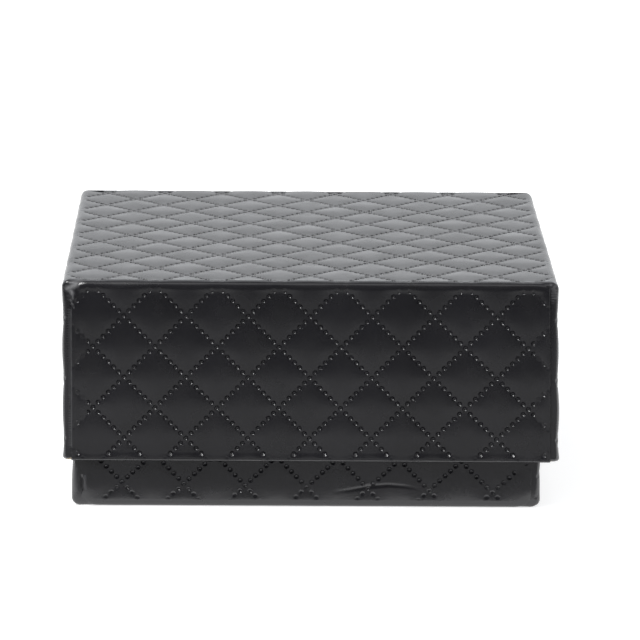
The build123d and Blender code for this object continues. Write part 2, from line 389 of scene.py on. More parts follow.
# %% The tray and its folds
class Tray:
    """The outside of one covered tray: where the panel and walls lie and which way they face."""

    def __init__(self, low, high, panel_up, node, tilt, hem):
        self.centre = (low + high) / 2
        self.half = (high - low) / 2
        self.panel_z = high[2] if panel_up else low[2]
        self.rim_z = low[2] if panel_up else high[2]
        self.away = 1 if panel_up else -1
        self.node = node
        self.tilt = tilt
        self.hem = hem
        self.flat_x = self.half[0] - EDGE_RADIUS
        self.flat_y = self.half[1] - EDGE_RADIUS
        # A pressed corner is a plane: which way it faces and how far out it lies
        self.facets = ()
        # A rubbed line on the front, painted light grey as wear and, at the lid's upper corners and left
        # cut edge, as painted highlight: how strong, how wide, and its points as x and height
        self.wear = ()
        self.leans = ()
        # How far from the panel's edge the pull over it flattens the quilting
        self.edge_width = 0.95
        self.wall = abs(self.panel_z - self.rim_z) - EDGE_RADIUS - RIM_RADIUS
        self.to_rim = ARC_OF_SHEET + self.wall

    def profile(self, reach):
        """Past a panel's fold: how far out and how far from the panel's level the sheet has come.

        It turns over the edge, runs along the wall, round the rim in a half circle and back.
        """
        edge = np.clip(reach / ARC_OF_SHEET, 0, 1) * math.pi / 2
        along = np.clip(reach - ARC_OF_SHEET, 0, self.wall)
        rim = np.clip((reach - self.to_rim) / RIM_RADIUS, 0, math.pi)
        back = np.clip(reach - self.to_rim - math.pi * RIM_RADIUS, 0, None)
        out = EDGE_RADIUS * np.sin(edge) - RIM_RADIUS * (1 - np.cos(rim))
        down = EDGE_RADIUS * (1 - np.cos(edge)) + along + RIM_RADIUS * np.sin(rim) - back
        return out, down

    def flatness(self, reach):
        """How far the quilting is pulled flat at a distance past the fold, from 0 to 1."""
        over = np.exp(-((reach - ARC_OF_SHEET / 2) / self.edge_width) ** 2)
        round_rim = np.clip((reach - self.to_rim + RIM_PULL_START) / RIM_PULL_LENGTH, 0, 1)
        return np.maximum(over, RIM_PULL * round_rim)


def fold_panel(tray):
    """The flat panel: sheet coordinates are x and y from its middle."""

    def fold(u, v):
        from_edge = np.minimum(tray.flat_x - np.abs(u), tray.flat_y - np.abs(v))
        z = np.full_like(u, tray.panel_z)
        return tray.centre[0] + u, tray.centre[1] + v, z, tray.flatness(-from_edge)

    return fold


# A dip at an end wall's corner: how wide it is, and how far down it reaches
DIP_WIDTH = 3.0
DIP_HEIGHT = 4.0
# An end wall's cut edge is pressed down by its own thickness, and its glued strip fades out inwards
CUT_EDGE_STEP = 0.30
GLUED_WIDTH = 1.6
GLUED_FADE = 1.3


def fold_end_wall(tray, sign, corner_dips):
    """The front or back wall: over the edge, down and round the rim.

    Its corners at the panel dip towards the corner of the board, because nothing backs them there.
    """
    cut = tray.half[0] - CUT_EDGE_INSET

    def fold(u, v):
        out, down = tray.profile(sign * v - tray.flat_y)
        for side, depth in corner_dips:
            beside = np.clip((side * u - cut + DIP_WIDTH) / DIP_WIDTH, 0, 1)
            above = np.clip(1 - down / DIP_HEIGHT, 0, 1)
            dip = depth * (beside * above) ** 2
            out = out - dip
            down = down + 0.5 * dip
        out = out - CUT_EDGE_STEP * (np.abs(u) >= cut - 0.01)
        x = tray.centre[0] + u
        y = tray.centre[1] + sign * (tray.flat_y + out)
        # Along its cut edge the sheet is glued down flat
        glued = GLUE_PULL * np.clip((np.abs(u) - cut + GLUED_WIDTH) / GLUED_FADE, 0, 1)
        pulled = np.maximum(tray.flatness(sign * v - tray.flat_y), glued)
        return x, y, tray.panel_z - tray.away * down, pulled

    return fold


# Near a rim the sheet is gathered round the corner: where that starts, over what length it grows,
# and how far it draws the sheet in, along the end wall and down
GATHER_START = 1.2
GATHER_LENGTH = 1.9
GATHER_IN = 0.15
GATHER_ALONG = 0.25
GATHER_DOWN = 0.3
# How far the sheet dives under the end wall's, so that both have their thickness
TUCK = 0.25


def fold_side_wall(tray, sign):
    """A side wall: over the edge and down, and round both upright corners."""

    def fold(u, v):
        reach = sign * u - tray.flat_x
        out, down = tray.profile(reach)
        beyond = np.clip(np.abs(v) - tray.flat_y, 0, None)
        turned = np.clip(beyond / ARC_OF_SHEET, 0, 1)
        corner = turned * math.pi / 2
        past = np.clip(beyond - ARC_OF_SHEET, 0, None)
        side = np.sign(v)
        # The gather rounds the corner's end at the rim
        gather = np.clip((reach - tray.to_rim + GATHER_START) / GATHER_LENGTH, 0, 1) ** 2 * turned
        out = out - GATHER_IN * gather
        x = tray.flat_x + out * np.cos(corner) - past - GATHER_ALONG * gather
        y = side * (np.minimum(np.abs(v), tray.flat_y) + out * np.sin(corner))
        y = y - side * TUCK * np.clip(2 * turned - 1, 0, 1)
        down = down - GATHER_DOWN * gather
        pulled = np.maximum(tray.flatness(reach), np.clip(1.2 * beyond / ARC_OF_SHEET, 0, CORNER_PULL))
        return tray.centre[0] + sign * x, tray.centre[1] + y, tray.panel_z - tray.away * down, pulled

    return fold


print("fold functions ready")

# %% [markdown]
# ## From the flat sheet to a mesh
# The mesh starts as a grid in seam coordinates, cut to the wall's rectangle by moving the outer
# vertices onto its border. Each vertex is folded into place and lifted along the surface's normal
# by the pattern. The normals come from the same function without its pits, whose shading is a bump
# in the finish, so that a pit stays round and crisp on a modest mesh.

# %% Mesh of one wall
def sheet_grid(window, node, tilt, steps):
    """Vertices and faces of a grid along the seams that fills a window of the sheet."""
    low_u, high_u, low_v, high_v = window
    corners_u = np.array([low_u, low_u, high_u, high_u])
    corners_v = np.array([low_v, high_v, low_v, high_v])
    a, b = seam_coordinates(corners_u, corners_v, node, tilt)
    a_steps = np.arange(math.floor(a.min() * steps) - 1, math.ceil(a.max() * steps) + 2)
    b_steps = np.arange(math.floor(b.min() * steps) - 1, math.ceil(b.max() * steps) + 2)
    grid_a, grid_b = np.meshgrid(a_steps / steps, b_steps / steps, indexing="ij")
    u, v = sheet_point(grid_a, grid_b, node, tilt)
    inside = (u > low_u) & (u < high_u) & (v > low_v) & (v < high_v)
    touched = inside[:-1, :-1] | inside[1:, :-1] | inside[:-1, 1:] | inside[1:, 1:]
    index = np.arange(u.size).reshape(u.shape)
    faces = np.stack([index[:-1, :-1], index[1:, :-1], index[1:, 1:], index[:-1, 1:]], axis=-1)[touched]
    used, faces = np.unique(faces, return_inverse=True)
    u = np.clip(u.ravel()[used], low_u, high_u)
    v = np.clip(v.ravel()[used], low_v, high_v)
    return u, v, faces.reshape(-1, 4)


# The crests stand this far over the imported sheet's plane
PROUD = 0.03
# A rubbed line, partly painted highlight, shows on what lies this near the front
FRONT_DEPTH = 3.0


def unit_normal(along, across):
    """The unit normal of a surface with these two tangents."""
    normal = np.cross(along, across)
    return normal / np.maximum(np.linalg.norm(normal, axis=-1, keepdims=True), 1e-12)


def pressed_behind(points, plane, sharpness=0.12):
    """Points outside a plane are pressed back onto it, with a soft crease round the facet."""
    direction = np.array(plane[0], dtype=float)
    direction = direction / np.linalg.norm(direction)
    over = points @ direction - plane[1]
    over = (over + np.sqrt(over ** 2 + sharpness ** 2)) / 2
    return points - over[..., None] * direction


def quilted_surface(tray, fold, side, dents=(), facets=(), under=0.0):
    """A function from sheet coordinates to points on the embossed surface.

    side is 1 where the fold keeps the sheet's handedness and -1 where it mirrors it. A sheet that
    lies under another one is pressed in further at a facet, by under.
    """
    step = 0.02

    def smooth(u, v):
        x, y, z, flat = fold(u, v)
        return np.stack([x, y, z], axis=-1), flat

    def embossed(u, v, with_pits=True):
        point, flat = smooth(u, v)
        along = smooth(u + step, v)[0] - smooth(u - step, v)[0]
        across = smooth(u, v + step)[0] - smooth(u, v - step)[0]
        normal = side * unit_normal(along, across)
        sunk, pit = emboss(u, v, tray.node, tray.tilt)
        height = PROUD - sunk * (1 - flat) - with_pits * pit * (1 - flat)
        for dent in dents:
            height = height - dent(u, v)
        point = point + normal * height[..., None]
        for direction, offset in facets:
            point = pressed_behind(point, (direction, offset - under))
        return point

    return embossed


def make_mesh(name, points_mm, faces, normals=None):
    """A mesh object from points in millimetres."""
    mesh = bpy.data.meshes.new(name)
    mesh.from_pydata((points_mm * MM).tolist(), [], faces if isinstance(faces, list) else faces.tolist())
    mesh.polygons.foreach_set("use_smooth", np.ones(len(mesh.polygons), dtype=bool))
    mesh.update()
    if normals is not None:
        mesh.normals_split_custom_set_from_vertices(normals.tolist())
    piece = bpy.data.objects.new(name, mesh)
    bpy.context.scene.collection.objects.link(piece)
    return piece


def leaned(points, tray):
    """The outside of a wall that stands away from its board, most at its lower end.

    Each lean says how far it goes out, from which x to which, and between which heights it grows.
    The sheet's hem stays glued to the board, and nothing goes below the table.
    """
    points = points.copy()
    inwards = np.minimum(tray.half[0] - np.abs(points[:, 0] - tray.centre[0]),
                         tray.half[1] - np.abs(points[:, 1] - tray.centre[1]))
    skin = 0.2
    outside = 1 - np.clip((inwards - skin) / (2 * RIM_RADIUS - skin), 0, 1)
    for amount, start, end, still, full in tray.leans:
        across = np.clip((points[:, 0] - start) / (end - start), 0, 1)
        grown = np.clip((points[:, 2] - still) / (full - still), 0, 1)
        points[:, 0] += amount * outside * across ** 2 * (3 - 2 * across) * grown
    points[:, 2] = np.maximum(points[:, 2], 0)
    return points


def near_line(x, z, points, width, fades=False):
    """1 on a line drawn on the front, as seen from straight ahead, falling to 0 beside it.

    A line that fades gets weaker from its middle to both ends.
    """
    line = np.array(points, dtype=float)
    middle = (len(line) - 1) / 2
    near = np.zeros_like(x)
    for k, (start, end) in enumerate(zip(line, line[1:])):
        run = end - start
        share = np.clip(((x - start[0]) * run[0] + (z - start[1]) * run[1]) / run.dot(run), 0, 1)
        gap = np.hypot(x - start[0] - share * run[0], z - start[1] - share * run[1])
        strength = 1 - (np.abs(k + share - middle) / (middle + 0.01)) ** 2 if fades else 1
        near = np.maximum(near, strength * np.exp(-(gap / width) ** 2))
    return near


def add_attribute(piece, name, kind, key, values):
    attribute = piece.data.attributes.new(name, kind, "POINT")
    attribute.data.foreach_set(key, np.ascontiguousarray(values, dtype=np.float32).ravel())


def quilted_wall(name, tray, fold, window, steps, dents=(), under=0.0):
    """One embossed wall or panel of a tray, as a mesh with its true normals."""
    # The lid's sheet lies face up and the base's face down, which mirrors it
    side = tray.away
    u, v, faces = sheet_grid(window, tray.node, tray.tilt, steps)
    surface = quilted_surface(tray, fold, side, dents, tray.facets, under)
    step = 0.03
    along = surface(u + step, v, False) - surface(u - step, v, False)
    across = surface(u, v + step, False) - surface(u, v - step, False)
    normals = side * unit_normal(along, across)
    # Seam coordinates run the other way round from sheet coordinates, so the faces do too
    if side > 0:
        faces = faces[:, ::-1]
    points = leaned(surface(u, v), tray)
    piece = make_mesh(name, points, faces, normals)
    piece.data.materials.append(cover)
    a, b = seam_coordinates(u, v, tray.node, tray.tilt)
    keep = (1 - fold(u, v)[3]) ** 1.5
    add_attribute(piece, "seams", "FLOAT_VECTOR", "vector", np.stack([a, b, keep], axis=-1))
    # The rubbed lines' light grey is partly wear and partly painted highlight
    wear = np.zeros_like(u)
    for strength, width, line in tray.wear:
        wear = np.maximum(wear, strength * near_line(points[:, 0], points[:, 2], line, width))
    at_front = points[:, 1] < tray.centre[1] - tray.half[1] + FRONT_DEPTH
    add_attribute(piece, "wear", "FLOAT", "value", wear * at_front)
    # What the piece measures before it is folded, in metres
    piece["flat_size"] = [(window[1] - window[0]) * MM, (window[3] - window[2]) * MM]
    print(name, len(faces), "faces")
    return piece


# %% [markdown]
# ## Covering the lid
# The lid's sheet has a seam crossing on its centre line, 6.3 mm behind the front. Nine pieces of
# mesh share that one pattern, so no seam breaks where they meet: the panel, four walls and four hems.

# %% Lid cover
LID_NODE = (0.0, 6.3 - (lid_high[1] - lid_low[1]) / 2)
# How far a side's sheet runs on under the end wall's, and how much deeper it is pressed in there
WING = 3.0
UNDER = 0.12
BACK_DIPS = ((-1, 0.3), (1, 0.4))
# Steps of the mesh along a diamond's side
FRONT_STEPS = 30
LID_STEPS = 24
BASE_STEPS = 18
HEM_STEPS = 12
lid = Tray(lid_low, lid_high, True, LID_NODE, 0.0, LID_HEM)
lid.leans = ((0.75, 20.0, 44.0, 41.0, 9.5),)
lid.facets = (((-0.33, -0.931, 0.156), 59.57), ((0.402, -0.864, 0.302), 66.14))
# Rubbed lines on the lid's front; those at its upper corners and along its left cut edge are painted
# highlight as much as wear, a light grey for the light on those edges
lid.wear = (
    (0.75, 0.42, [(-43.9, 41.5), (-43.1, 41.8), (-42.4, 42.2)]),
    (0.65, 0.34, [(-43.3, 41.2), (-43.05, 40.6)]),
    (0.50, 0.16, [(-43.0, 40.6), (-42.95, 39.6)]),
    (0.40, 0.10, [(-43.7, 40.2), (-43.2, 39.0), (-42.7, 38.0)]),
    (0.30, 0.14, [(-43.4, 37.6), (-43.35, 24.0), (-43.4, 12.0)]),
    (0.35, 0.25, [(-43.4, 42.5), (-41.4, 42.95)]),
    (0.35, 0.22, [(44.1, 42.3), (44.5, 40.2)]),
    (0.25, 0.18, [(43.5, 42.6), (44.0, 39.4)]),
)
print("lid panel", round(lid.flat_x * 2, 1), "by", round(lid.flat_y * 2, 1))


def cover_tray(prefix, tray, body, node, other_steps, dips, dents=()):
    """The quilted pieces of one tray's cover: its panel, its four walls and their hems."""
    cut = tray.half[0] - CUT_EDGE_INSET
    rim = tray.to_rim + math.pi * RIM_RADIUS
    wing = tray.flat_y + ARC_OF_SHEET + WING
    pieces = [quilted_wall(prefix + "_panel", tray, fold_panel(tray),
                           (-tray.flat_x, tray.flat_x, -tray.flat_y, tray.flat_y), other_steps)]
    for name, sign, steps, own_dips, own_dents in (("front", -1, FRONT_STEPS, dips, dents),
                                                   ("back", 1, other_steps, BACK_DIPS, ())):
        fold = fold_end_wall(tray, sign, own_dips)
        start, end = sorted((sign * tray.flat_y, sign * (tray.flat_y + rim)))
        pieces.append(quilted_wall(f"{prefix}_{name}", tray, fold, (-cut, cut, start, end), steps,
                                   own_dents))
        start, end = sorted((sign * (tray.flat_y + rim), sign * (tray.flat_y + rim + tray.hem)))
        pieces.append(quilted_wall(f"{prefix}_{name}_hem", tray, fold, (-cut, cut, start, end), HEM_STEPS))
    for name, sign in (("left", -1), ("right", 1)):
        fold = fold_side_wall(tray, sign)
        start, end = sorted((sign * tray.flat_x, sign * (tray.flat_x + rim)))
        pieces.append(quilted_wall(f"{prefix}_{name}", tray, fold, (start, end, -wing, wing), other_steps,
                                   under=UNDER))
        start, end = sorted((sign * (tray.flat_x + rim), sign * (tray.flat_x + rim + tray.hem)))
        window = (start, end, -tray.flat_y, tray.flat_y)
        pieces.append(quilted_wall(f"{prefix}_{name}_hem", tray, fold, window, HEM_STEPS))
    for piece in pieces:
        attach(piece, body)
        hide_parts(node)


cover_tray("lid_cover", lid, "lid", "lid_wrap", LID_STEPS, dips=((-1, 1.0), (1, 0.45)))

# %% [markdown]
# ## Covering the base
# The base has had a harder life. Its sheet was laid a little askew, the front's cut edge gapes at
# the lower left corner, and a wrinkle runs from the middle to the right. Each mark is a dent: a
# short line on the wall, as x and height above the table in millimetres.

# %% Base cover
BASE_NODE = (0.0, 8.9 - (base_high[1] - base_low[1]) / 2)
BASE_TILT = 1.4
base = Tray(base_low, base_high, False, BASE_NODE, BASE_TILT, BASE_HEM)
base.edge_width = 2.2
base.leans = ((0.72, 25.0, 41.5, 30.0, 11.0), (-0.30, -30.0, -43.0, 30.0, 11.0))
base.wear = (
    (0.25, 0.35, [(-42.9, 7.5), (-42.7, 3.0)]),
    (0.30, 0.14, [(-41.0, 6.0), (-40.95, 3.4)]),
)


def scratch(points, depth, width):
    """A groove on the base's front wall, along points given as x and height above the table."""

    def dent(u, v):
        height = -v - base.flat_y - ARC_OF_SHEET + EDGE_RADIUS
        return depth * near_line(u + base.centre[0], height, points, width, fades=True)

    return dent


base_marks = (
    scratch([(-41.4, 6.2), (-41.2, 5.0), (-41.25, 3.6), (-41.7, 2.2)], 0.55, 0.20),
    scratch([(4.5, 3.0), (7.5, 3.4), (11.5, 4.1), (14.5, 4.4), (17.5, 4.2), (21.0, 3.5)], 0.13, 0.34),
    scratch([(39.6, 0.9), (40.2, 1.5), (40.8, 2.2)], 0.45, 0.20),
)
cover_tray("base_cover", base, "base", "base_wrap", BASE_STEPS, dips=((-1, 0.9), (1, 0.5)),
           dents=base_marks)

# %% [markdown]
# ## The foam insert
# The base holds two layers of foam. The upper one is die-cut: a round seat for the watch, a notch
# for its bow and a trough for its chain. The opening is written as a distance field, because every
# soft edge near it, the velvet's roll and the foam's worn rim, is a function of that distance.

# %% The opening's outline
SEAT_RADIUS = 25.5
SEAT_Y = -8.5
NOTCH_HALF = 11.0
TROUGH_HALF = (31.0, 5.0)
TROUGH_Y = 27.5
TROUGH_CORNER = 4.0
MIDDLE_X = (insert_low[0] + insert_high[0]) / 2
recess_high = node_box("recess_velvet")[1]
velvet_high = node_box("insert_velvet")[1]


def box_distance(x, y, half_x, half_y, corner=0.0):
    dx = np.abs(x) - half_x + corner
    dy = np.abs(y) - half_y + corner
    outside = np.hypot(np.maximum(dx, 0), np.maximum(dy, 0))
    return outside + np.minimum(np.maximum(dx, dy), 0) - corner


def from_opening(x, y):
    """Distance from the opening's edge, less than 0 inside it."""
    x = x - MIDDLE_X
    seat = np.hypot(x, y - SEAT_Y) - SEAT_RADIUS
    middle = (SEAT_Y + TROUGH_Y) / 2
    notch = box_distance(x, y - middle, NOTCH_HALF, TROUGH_Y - middle)
    trough = box_distance(x, y - TROUGH_Y, *TROUGH_HALF, TROUGH_CORNER)
    return np.minimum(np.minimum(seat, notch), trough)


def arc(centre, radius, start, end, step=0.9):
    """Points on an arc, from one angle to another in degrees."""
    count = max(3, round(abs(math.radians(end - start)) * radius / step) + 1)
    angles = np.radians(np.linspace(start, end, count))
    return [(centre[0] + radius * math.cos(t), centre[1] + radius * math.sin(t)) for t in angles]


def opening_outline(inset=0.0):
    """The opening's edge as points, anticlockwise, a little inside it if asked."""
    radius = SEAT_RADIUS - inset
    half = NOTCH_HALF - inset
    meets = math.degrees(math.acos(half / radius))
    corner = TROUGH_CORNER - inset
    far_x, near_y = TROUGH_HALF[0] - TROUGH_CORNER, TROUGH_HALF[1] - TROUGH_CORNER
    points = arc((0, SEAT_Y), radius, 180 - meets, 360 + meets)
    points += arc((far_x, TROUGH_Y - near_y), corner, 270, 360)
    points += arc((far_x, TROUGH_Y + near_y), corner, 0, 90)
    points += arc((-far_x, TROUGH_Y + near_y), corner, 90, 180)
    points += arc((-far_x, TROUGH_Y - near_y), corner, 180, 270)
    front = TROUGH_Y - TROUGH_HALF[1] + inset
    first = points.index(next(p for p in points if abs(p[0] - far_x) < 0.01 and abs(p[1] - front) < 0.01))
    points.insert(first, (half, front))
    points.append((-half, front))
    return np.array(points) + np.array([MIDDLE_X, 0])


print("opening", len(opening_outline()), "points")

# %% [markdown]
# ## Filling an outline with triangles
# A sheet with a shaped hole is filled by Delaunay triangles: the outlines' own points, a few rings
# of points beside the hole where the surface bends, and a plain grid elsewhere.

# %% Flat fill and solid fill
# Beside a hole the rings' points take the grid's place as far as this
RINGS_REACH = 2.2
# Foam is cut into rows this high, and the knife's wave has a regular part and a random one
FOAM_GRID = 6.0
FOAM_ROW = 1.2
KNIFE_WAVE = 0.06
KNIFE_SCATTER = 0.05


def rectangle(low, high, step=3.0):
    """Points round a rectangle, anticlockwise."""
    xs = np.linspace(low[0], high[0], max(2, round((high[0] - low[0]) / step)), endpoint=False)
    ys = np.linspace(low[1], high[1], max(2, round((high[1] - low[1]) / step)), endpoint=False)
    turn_x = low[0] + high[0]
    turn_y = low[1] + high[1]
    return np.array([(x, low[1]) for x in xs] + [(high[0], y) for y in ys]
                    + [(turn_x - x, high[1]) for x in xs] + [(low[0], turn_y - y) for y in ys])


def filled(loops, depth_inside, step, rings=()):
    """Points and triangles of the region where depth_inside is above 0."""
    points = [Vector(p) for loop in loops for p in loop]
    edges = []
    first = 0
    for loop in loops:
        edges += [(first + i, first + (i + 1) % len(loop)) for i in range(len(loop))]
        first += len(loop)
    points += [Vector(p) for ring in rings for p in ring]
    corner_low = np.min(np.concatenate(loops), axis=0)
    corner_high = np.max(np.concatenate(loops), axis=0)
    x, y = np.meshgrid(np.arange(corner_low[0] + step / 2, corner_high[0], step),
                       np.arange(corner_low[1] + step / 2, corner_high[1], step))
    clear = depth_inside(x, y) > (RINGS_REACH if rings else 0.6 * step)
    points += [Vector(p) for p in zip(x[clear], y[clear])]
    made, _, triangles = delaunay_2d_cdt(points, edges, [], 0, 1e-5)[:3]
    made = np.array([tuple(p) for p in made])
    triangles = np.array([tuple(t) for t in triangles])
    middle = made[triangles].mean(axis=1)
    return made, triangles[depth_inside(middle[:, 0], middle[:, 1]) > 0]


def laid_sheet(name, loops, depth_inside, height, step, finish, rings=()):
    """A sheet of cloth over an outline, with its height as a function of place."""
    flat, triangles = filled(loops, depth_inside, step, rings)
    points = np.column_stack([flat, height(flat[:, 0], flat[:, 1])])
    piece = make_mesh(name, points, triangles)
    piece.data.materials.append(finish)
    corners = flat[triangles]
    run, rise = corners[:, 1] - corners[:, 0], corners[:, 2] - corners[:, 0]
    piece["cut_area"] = float(np.abs(run[:, 0] * rise[:, 1] - run[:, 1] * rise[:, 0]).sum() / 2) * MM * MM
    print(name, len(triangles), "triangles")
    return piece


def outward_normals(loop):
    """Unit normals of a closed outline, which point out of it where it runs anticlockwise."""
    run = np.roll(loop, -1, axis=0) - np.roll(loop, 1, axis=0)
    normals = np.stack([run[:, 1], -run[:, 0]], axis=-1)
    return normals / np.linalg.norm(normals, axis=-1, keepdims=True)


def foam_block(name, loops, depth_inside, low, high, finish):
    """A block of cut foam: flat faces and walls that the knife left slightly wavy."""
    flat, triangles = filled(loops, depth_inside, FOAM_GRID)
    count = len(flat)
    points = [np.column_stack([flat, np.full(count, low)]), np.column_stack([flat, np.full(count, high)])]
    faces = triangles[:, ::-1].tolist() + (triangles + count).tolist()
    rows = max(2, round((high - low) / FOAM_ROW))
    start = 2 * count
    first = 0
    for loop in loops:
        size = len(loop)
        beside = outward_normals(loop)
        turn = np.arange(size)
        ring = [first + turn]
        for row in range(1, rows):
            wave = KNIFE_WAVE * np.sin(0.9 * row + 0.31 * turn) + KNIFE_SCATTER * (scatter(turn, row) - 1)
            moved = loop + beside * wave[:, None]
            points.append(np.column_stack([moved, np.full(size, low + (high - low) * row / rows)]))
            ring.append(start + turn)
            start += size
        ring.append(count + first + turn)
        for below, above in zip(ring, ring[1:]):
            around = np.roll(turn, -1)
            faces += np.stack([below, below[around], above[around], above], axis=-1).tolist()
        first += size
    piece = make_mesh(name, np.concatenate(points), faces)
    piece.data.set_sharp_from_angle(angle=math.radians(40))
    piece.data.materials.append(finish)
    print(name, len(faces), "faces")
    return piece


# %% [markdown]
# ## Finishes of the inside
# Foam is matt with small pores, and the pores' hollows are painted darker as shade. Velvet has a nap
# that brightens at a low angle, satin is a fine weave with a soft shine, and the papers and boards
# show fibres and flecks.

# %% Inside finishes
def fibres(name, dark, light, size_mm, roughness, strength, depth_mm, sheen=0.0):
    """A matt finish whose colour and surface vary with soft noise at one scale and a finer one."""
    finish = Finish(name)
    coarse = finish.noise(size_mm, detail=4.0, roughness=0.6)
    fine = finish.noise(size_mm / 6, detail=3.0, roughness=0.6)
    tone = finish.ramp(coarse * 0.6 + fine * 0.4, (0.35, 0.0), (0.65, 1.0))
    return finish.surface(
        Base_Color=finish.colour(tone, dark, light),
        Roughness=roughness - tone * 0.12,
        Normal=finish.bump(fine * 0.7 + coarse * 0.3, strength, depth_mm),
        Sheen_Weight=sheen,
        Sheen_Roughness=0.4,
        Specular_IOR_Level=0.3,
    )


def foam_finish():
    finish = Finish("cut_foam")
    pores = finish.node("ShaderNodeTexVoronoi", Vector=finish.place(), Scale=1 / (0.55 * MM))
    lumps = finish.noise(4.0, detail=3.0)
    # The pores' hollows are painted darker: painted shade where the bump sinks
    tone = finish.ramp(pores, (0.1, 0.0), (0.7, 1.0))
    return finish.surface(
        Base_Color=finish.colour(tone, (0.012, 0.012, 0.013), (0.034, 0.034, 0.036)),
        Roughness=0.98 - lumps * 0.1,
        Normal=finish.bump(pores * 0.8 + lumps * 0.2, 0.6, 0.25),
        Specular_IOR_Level=0.25,
    )


def satin_finish():
    """Fine threads in two directions over soft shading, as woven satin has."""
    finish = Finish("satin")
    threads = [finish.node("ShaderNodeTexWave", Vector=finish.place(), Scale=1 / (2.4 * MM), Distortion=0.6,
                           settings={"bands_direction": way}) for way in ("X", "Y")]
    slub = finish.noise(6.0, detail=4.0)
    tone = finish.ramp(slub, (0.3, 0.0), (0.7, 1.0))
    return finish.surface(
        Base_Color=finish.colour(tone, (0.018, 0.018, 0.020), (0.036, 0.036, 0.039)),
        Roughness=0.34 + slub * 0.16,
        Normal=finish.bump(threads[0] * 0.35 + threads[1] * 0.65, 0.35, 0.05),
        Sheen_Weight=0.3,
        Sheen_Roughness=0.3,
    )


velvet = fibres("velvet", (0.007, 0.007, 0.008), (0.020, 0.020, 0.022), 3.5, 0.95, 0.5, 0.12,
                sheen=0.55)
foam = foam_finish()
satin = satin_finish()
lining_paper = fibres("lining_paper", (0.018, 0.018, 0.018), (0.032, 0.032, 0.033), 1.6, 0.75, 0.3, 0.03)
greyboard = fibres("greyboard", (0.20, 0.19, 0.175), (0.36, 0.34, 0.31), 2.2, 0.95, 0.4, 0.06)
kraft_paper = fibres("stay_paper", (0.42, 0.34, 0.24), (0.60, 0.51, 0.38), 2.0, 0.85, 0.3, 0.03)

NODE_FINISHES = (("board", greyboard), ("card", greyboard), ("stay", kraft_paper), ("lining", lining_paper))
for node_name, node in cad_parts.items():
    for part, finish in NODE_FINISHES:
        if part in node_name:
            for slot in node.material_slots:
                slot.material = finish
            print(node_name, finish.name)

# %% [markdown]
# ## Foam and velvet
# The velvet is a sheet laid on the foam and cut with it. Its cut edges roll down a little, both
# round the opening and along the walls. A second piece of velvet lies on the opening's floor.

# %% Insert pieces
ROLL = 0.6
RING_PLACES = (0.12, 0.3, 0.6, 1.2)
# How far the loose cloth waves up and down, on the foam and on the opening's floor
VELVET_WAVE = 0.05
RECESS_WAVE = 0.06
# The floor's velvet stops short of the opening's wall and curls up beside it
RECESS_GAP = 0.3
CURL_WIDTH = 2.0
CURL = 0.25
mouth = rectangle(insert_low, insert_high)


def inside_walls(x, y):
    return np.minimum(np.minimum(x - insert_low[0], insert_high[0] - x),
                      np.minimum(y - insert_low[1], insert_high[1] - y))


def on_insert(x, y):
    return np.minimum(inside_walls(x, y), from_opening(x, y))


def slow_waves(x, y, size):
    """Soft unevenness between -1 and 1."""
    x, y = x / size, y / size
    return np.sin(x + 1.3 * np.sin(y * 0.7)) * np.cos(y * 0.9 + 0.8 * np.sin(x * 0.6))


def velvet_height(x, y):
    edge = np.clip(on_insert(x, y), 0, ROLL)
    rolled = ROLL - np.sqrt(np.maximum(ROLL ** 2 - (ROLL - edge) ** 2, 0))
    return velvet_high[2] - rolled + VELVET_WAVE * (slow_waves(x, y, 9.0) - 1)


def recess_height(x, y):
    curl = np.clip(1 - in_recess(x, y) / CURL_WIDTH, 0, 1) ** 2
    return recess_high[2] + RECESS_WAVE * (slow_waves(x, y, 7.0) - 1) + CURL * curl


def in_recess(x, y):
    return -RECESS_GAP - from_opening(x, y)


edge_rings = [opening_outline(-away) for away in RING_PLACES]
wall_rings = [rectangle(insert_low + away, insert_high - away, 1.5) for away in RING_PLACES]
insert_velvet = laid_sheet("insert_velvet_top", [mouth, opening_outline()], on_insert, velvet_height,
                           1.6, velvet, edge_rings + wall_rings)
recess_velvet = laid_sheet("recess_velvet_floor", [opening_outline(RECESS_GAP)], in_recess, recess_height,
                           1.4, velvet, [opening_outline(away) for away in (0.6, 1.0, 1.5, 2.0)])
lower_low, lower_high = node_box("insert_lower_foam")
upper_foam = foam_block("foam_upper", [mouth, opening_outline()[::-1]], on_insert,
                        insert_low[2] + 0.02, insert_high[2] - 0.05, foam)
lower_foam = foam_block("foam_lower", [mouth], inside_walls, lower_low[2], lower_high[2] - 0.02, foam)
for piece, node_name in ((insert_velvet, "insert_velvet"), (recess_velvet, "recess_velvet"),
                         (upper_foam, "insert_upper_foam"), (lower_foam, "insert_lower_foam")):
    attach(piece, "base")
    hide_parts(node_name)

# %% [markdown]
# ## The lid's pad
# Over the watch the lid carries a pad: card, foam and a satin cover turned behind the card. The
# satin is pulled tight, so it is crowned in the middle and puckers along its edges and corners.

# %% Lid pad
card_high = node_box("lid_pad_card")[1]
pad_low, pad_high = node_box("lid_pad_satin")
PAD_CORNER = 4.0
# How far the satin bulges in its middle, against the middle of an edge
PAD_CROWN = 0.975
PAD_ROLL = 1.1
# Puckers: their wave along the edge, how it drifts, their depth, and how much deeper corners pucker
PUCKER_WAVE = 0.62
PUCKER_DRIFT = 5.1
PUCKER_DEPTH = 0.07
CORNER_PUCKER = 0.16
CORNER_REACH = 6.0
PAD_AROUND = 360
PAD_RINGS = (0.05, 0.2, 0.35, 0.5, 0.62, 0.72, 0.8, 0.86, 0.90, 0.935)


